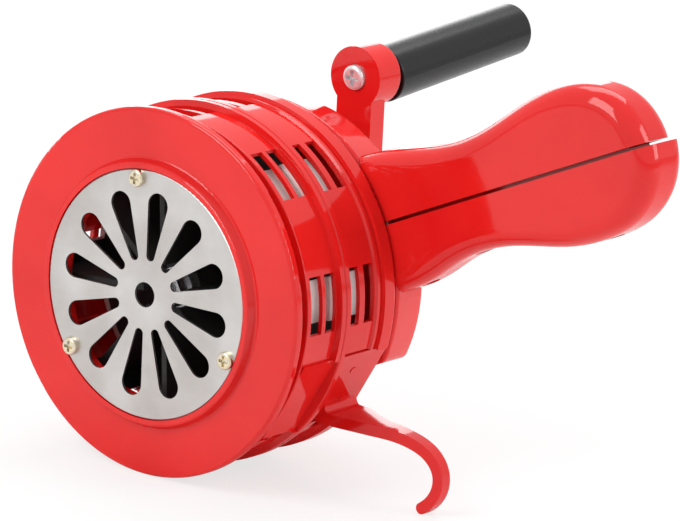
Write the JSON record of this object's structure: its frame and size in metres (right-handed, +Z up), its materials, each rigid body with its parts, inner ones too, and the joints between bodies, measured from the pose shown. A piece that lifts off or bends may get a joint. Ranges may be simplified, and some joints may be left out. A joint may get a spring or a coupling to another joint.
{
  "type": "hand crank siren",
  "caption": "Compact red hand crank siren: slotted drum with a rotor inside, petal grille, gear housing, crank with turning grip, cast carrying handle and stand hook.",
  "frame": {"origin": "middle of the bounding box, on the surface that the siren stands on", "axes": "+Y runs rearwards along the drum axis from the grille to the crank, +X points to the carrying handle, +Z is up"},
  "size_m": [0.2558, 0.2124, 0.1743],
  "materials": {
    "red_enamel": "glossy baked red enamel",
    "grille_steel": "fine brushed stainless sheet",
    "yellow_zinc": "yellow zinc plated screw",
    "cast_aluminium": "machined casting",
    "bearing_steel": "ground",
    "gear_steel": "oiled, cut teeth",
    "plated_steel": "zinc plated",
    "chrome": "polished",
    "bronze": "sintered bushing",
    "black_plastic": "satin moulded"
  },
  "bodies": {
    "housing": {"front_housing": "red_enamel", "rear_housing": "red_enamel", "housing_screws": "plated_steel", "grille_disc": "grille_steel", "grille_screws": "yellow_zinc", "bearing_outer_rings": "bearing_steel", "bearing_balls": "bearing_steel", "layshaft_pin": "plated_steel", "layshaft_washers": "plated_steel", "crank_bush": "bronze", "gear_housing": "red_enamel", "gear_housing_screws": "plated_steel", "upper_handle_shell": "red_enamel", "lower_handle_shell": "red_enamel", "handle_screws": "plated_steel", "stand_hook": "red_enamel", "hook_rivets": "red_enamel"},
    "rotor": {"rotor": "cast_aluminium", "rotor_shaft": "plated_steel", "rotor_nut": "plated_steel", "rotor_washer": "plated_steel", "bearing_inner_rings": "bearing_steel", "rotor_pinion": "gear_steel"},
    "layshaft": {"layshaft_wheel": "gear_steel", "layshaft_pinion": "gear_steel"},
    "crank": {"crank_wheel": "gear_steel", "crank_shaft": "plated_steel", "crank_washer": "plated_steel", "crank_nut": "plated_steel", "crank_arm": "red_enamel", "grip_bolt": "chrome", "grip_washer": "plated_steel", "grip_nut": "plated_steel"},
    "grip": {"crank_grip": "black_plastic"}
  },
  "joints": [
    {"name": "crank_turn", "type": "hinge", "parent": "housing", "child": "crank", "pos_m": [-0.04189, 0.00282, 0.083], "axis": [0, 1, 0], "continuous": true},
    {"name": "layshaft_spin", "type": "hinge", "parent": "housing", "child": "layshaft", "pos_m": [-0.07893, -0.02718, 0.07716], "axis": [0, 1, 0], "continuous": true},
    {"name": "rotor_spin", "type": "hinge", "parent": "housing", "child": "rotor", "pos_m": [-0.05539, -0.05378, 0.0725], "axis": [0, 1, 0], "continuous": true},
    {"name": "grip_spin", "type": "hinge", "parent": "crank", "child": "grip", "pos_m": [-0.04316, 0.00309, 0.1436], "axis": [0, 0.9956, 0.0941], "continuous": true}
  ],
  "couplings": [
    {"joint": "layshaft_spin", "follows": "crank_turn", "ratio": -4},
    {"joint": "rotor_spin", "follows": "crank_turn", "ratio": 12}
  ]
}
